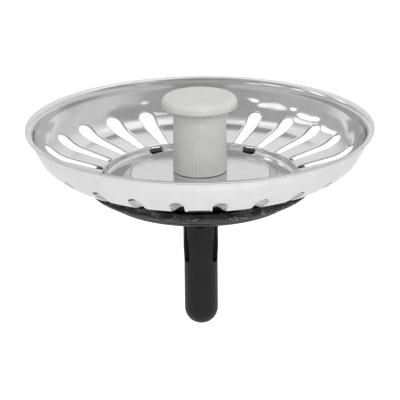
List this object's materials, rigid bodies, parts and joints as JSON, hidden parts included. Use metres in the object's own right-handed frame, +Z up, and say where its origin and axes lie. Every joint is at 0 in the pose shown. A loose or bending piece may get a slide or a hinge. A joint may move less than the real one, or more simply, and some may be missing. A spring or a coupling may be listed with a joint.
{
  "type": "sink strainer plug",
  "caption": "Round sink strainer plug: a slotted steel bowl with a knob in it, a bevelled rubber seal under it and a split spring stem.",
  "frame": {"origin": "The centre of the rim's flat top, on the axis of the stem, which is where the plug sits in the mouth of the sink's waste.", "axes": "+Z is up, out of the drain, from the stem's nose to the knob's top. +X is to the right and -Y is toward the viewer of the picture. The first spring finger stands on the -Y side."},
  "size_m": [0.083, 0.083, 0.0578],
  "materials": {
    "polished_steel": "polished stainless steel sheet",
    "plain_steel": "plain zinc-grey fastener steel",
    "grey_plastic": "satin grey moulding",
    "black_plastic": "satin black moulding",
    "black_rubber": "dull moulded rubber"
  },
  "bodies": {
    "plug": {"basket": "polished_steel", "knob": "grey_plastic", "stud": "plain_steel", "washer": "plain_steel", "seal": "black_rubber", "backing_disc": "black_plastic", "nut": "plain_steel", "stem": "black_plastic"},
    "finger_1": {"spring_finger_1": "black_plastic"},
    "finger_2": {"spring_finger_2": "black_plastic"},
    "finger_3": {"spring_finger_3": "black_plastic"}
  },
  "joints": [
    {"name": "finger_1_bend", "type": "hinge", "parent": "plug", "child": "finger_1", "pos_m": [0, -0.00352, -0.033], "axis": [-1, 0, 0], "range_deg": [0, 1.5], "stiffness_Nm_per_rad": 0.5},
    {"name": "finger_2_bend", "type": "hinge", "parent": "plug", "child": "finger_2", "pos_m": [0.00305, 0.00176, -0.033], "axis": [0.5, -0.866, 0], "range_deg": [0, 1.5], "stiffness_Nm_per_rad": 0.5},
    {"name": "finger_3_bend", "type": "hinge", "parent": "plug", "child": "finger_3", "pos_m": [-0.00305, 0.00176, -0.033], "axis": [0.5, 0.866, 0], "range_deg": [0, 1.5], "stiffness_Nm_per_rad": 0.5}
  ]
}
